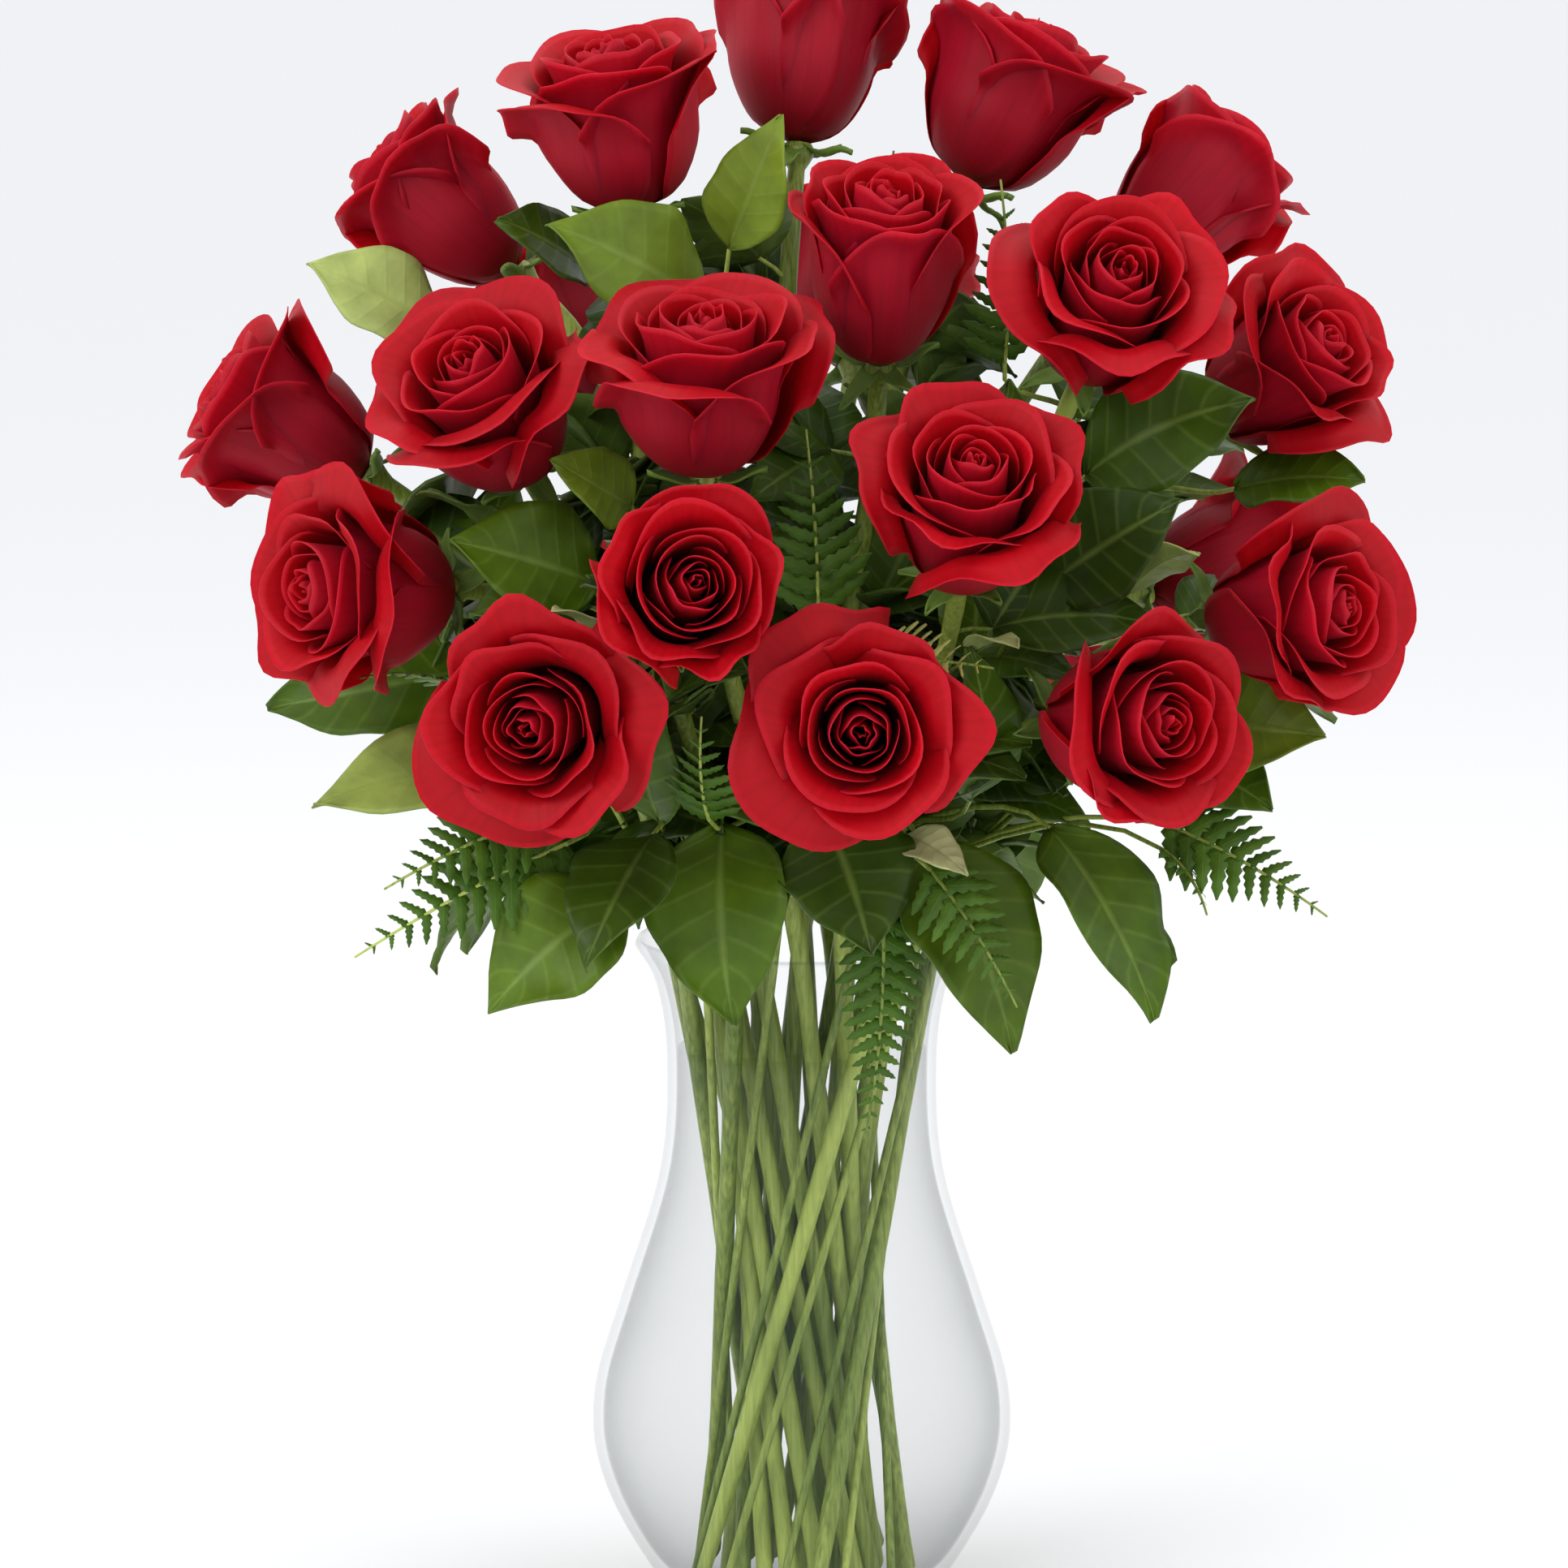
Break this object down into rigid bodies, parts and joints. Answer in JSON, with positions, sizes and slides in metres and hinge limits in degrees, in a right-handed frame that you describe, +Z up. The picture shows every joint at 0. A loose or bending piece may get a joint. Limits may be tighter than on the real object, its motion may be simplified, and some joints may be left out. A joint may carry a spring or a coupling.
{
  "type": "roses in a vase",
  "caption": "Domed bunch of long-stemmed red roses with lemon leaf and leather fern, standing in water in a clear glass vase with a round belly and a flared lip.",
  "frame": {"origin": "centre of the vase's flat underside", "axes": "+Z up along the vase's axis, -Y towards the front of the bunch, +X to its right"},
  "size_m": [0.4098, 0.3817, 0.5643],
  "materials": {
    "clear_glass": "clear, fire-polished",
    "water": "clear, still",
    "rose_petal": "velvety, satin at the rims",
    "rose_stem": "waxy, satin",
    "lemon_leaf": "leathery, half gloss",
    "leather_fern": "leathery, satin"
  },
  "bodies": {
    "root": {"vase": "clear_glass", "water": "water", "rose_01_stem": "rose_stem", "rose_01_bloom": "rose_petal", "rose_02_stem": "rose_stem", "rose_02_bloom": "rose_petal", "rose_03_stem": "rose_stem", "rose_03_bloom": "rose_petal", "rose_04_stem": "rose_stem", "rose_04_bloom": "rose_petal", "rose_05_stem": "rose_stem", "rose_05_bloom": "rose_petal", "rose_06_stem": "rose_stem", "rose_06_bloom": "rose_petal", "rose_07_stem": "rose_stem", "rose_07_bloom": "rose_petal", "rose_08_stem": "rose_stem", "rose_08_bloom": "rose_petal", "rose_09_stem": "rose_stem", "rose_09_bloom": "rose_petal", "rose_10_stem": "rose_stem", "rose_10_bloom": "rose_petal", "rose_11_stem": "rose_stem", "rose_11_bloom": "rose_petal", "rose_12_stem": "rose_stem", "rose_12_bloom": "rose_petal", "rose_13_stem": "rose_stem", "rose_13_bloom": "rose_petal", "rose_14_stem": "rose_stem", "rose_14_bloom": "rose_petal", "rose_15_stem": "rose_stem", "rose_15_bloom": "rose_petal", "rose_16_stem": "rose_stem", "rose_16_bloom": "rose_petal", "rose_17_stem": "rose_stem", "rose_17_bloom": "rose_petal", "rose_18_stem": "rose_stem", "rose_18_bloom": "rose_petal", "rose_19_stem": "rose_stem", "rose_19_bloom": "rose_petal", "rose_20_stem": "rose_stem", "rose_20_bloom": "rose_petal", "rose_21_stem": "rose_stem", "rose_21_bloom": "rose_petal", "rose_22_stem": "rose_stem", "rose_22_bloom": "rose_petal", "rose_23_stem": "rose_stem", "rose_23_bloom": "rose_petal", "rose_24_stem": "rose_stem", "rose_24_bloom": "rose_petal", "lemon_leaf_1": "lemon_leaf", "lemon_leaf_2": "lemon_leaf", "lemon_leaf_3": "lemon_leaf", "lemon_leaf_4": "lemon_leaf", "lemon_leaf_5": "lemon_leaf", "lemon_leaf_6": "lemon_leaf", "leather_fern_1": "leather_fern", "leather_fern_2": "leather_fern", "leather_fern_3": "leather_fern", "leather_fern_4": "leather_fern"}
  },
  "joints": []
}
